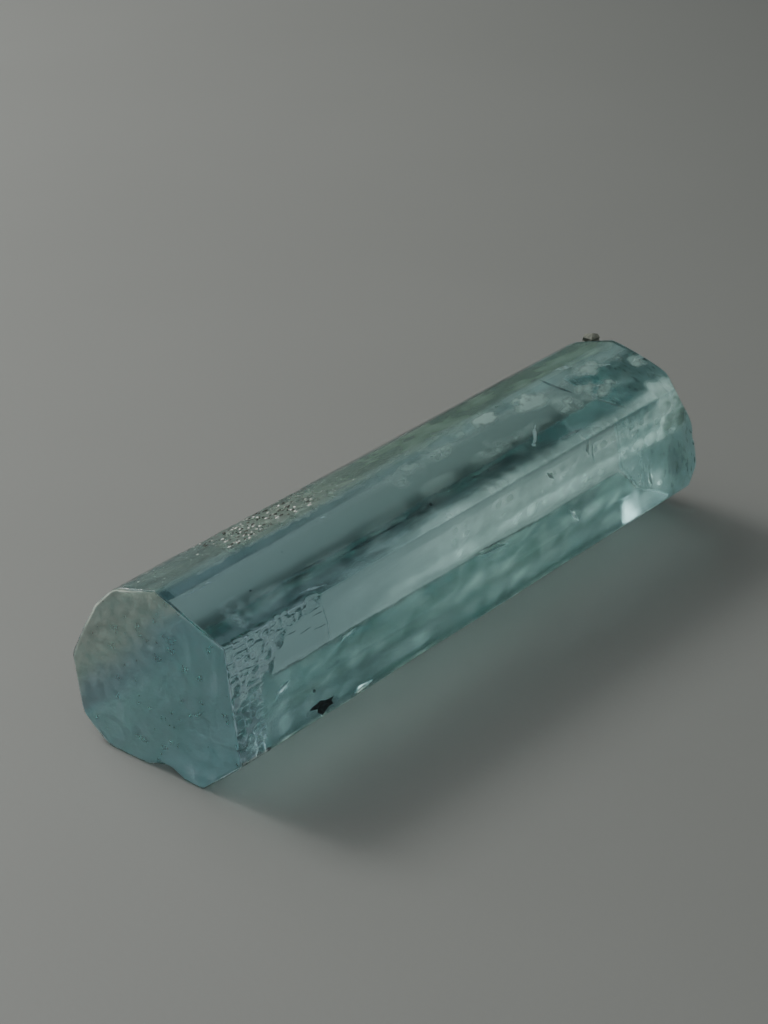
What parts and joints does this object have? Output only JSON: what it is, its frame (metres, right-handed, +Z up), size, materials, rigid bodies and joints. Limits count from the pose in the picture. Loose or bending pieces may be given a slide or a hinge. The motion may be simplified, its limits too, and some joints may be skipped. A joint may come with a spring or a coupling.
{
  "type": "aquamarine crystal",
  "caption": "Loose natural beryl crystal: a stout six-sided prism lying on its worn flat side, one end broken and frosted, the other rounded.",
  "frame": {"origin": "centre of the bounding box's floor, on the surface that the crystal lies on", "axes": "+X along the prism, from the broken frosted end to the rounded tip; +Z up; -Y towards the bright front face"},
  "size_m": [0.051, 0.0142, 0.0125],
  "materials": {
    "aquamarine": "clear to cloudy pale blue-green beryl, glassy prism faces, frosted broken end, etched patches"
  },
  "bodies": {
    "root": {"crystal": "aquamarine"}
  },
  "joints": []
}
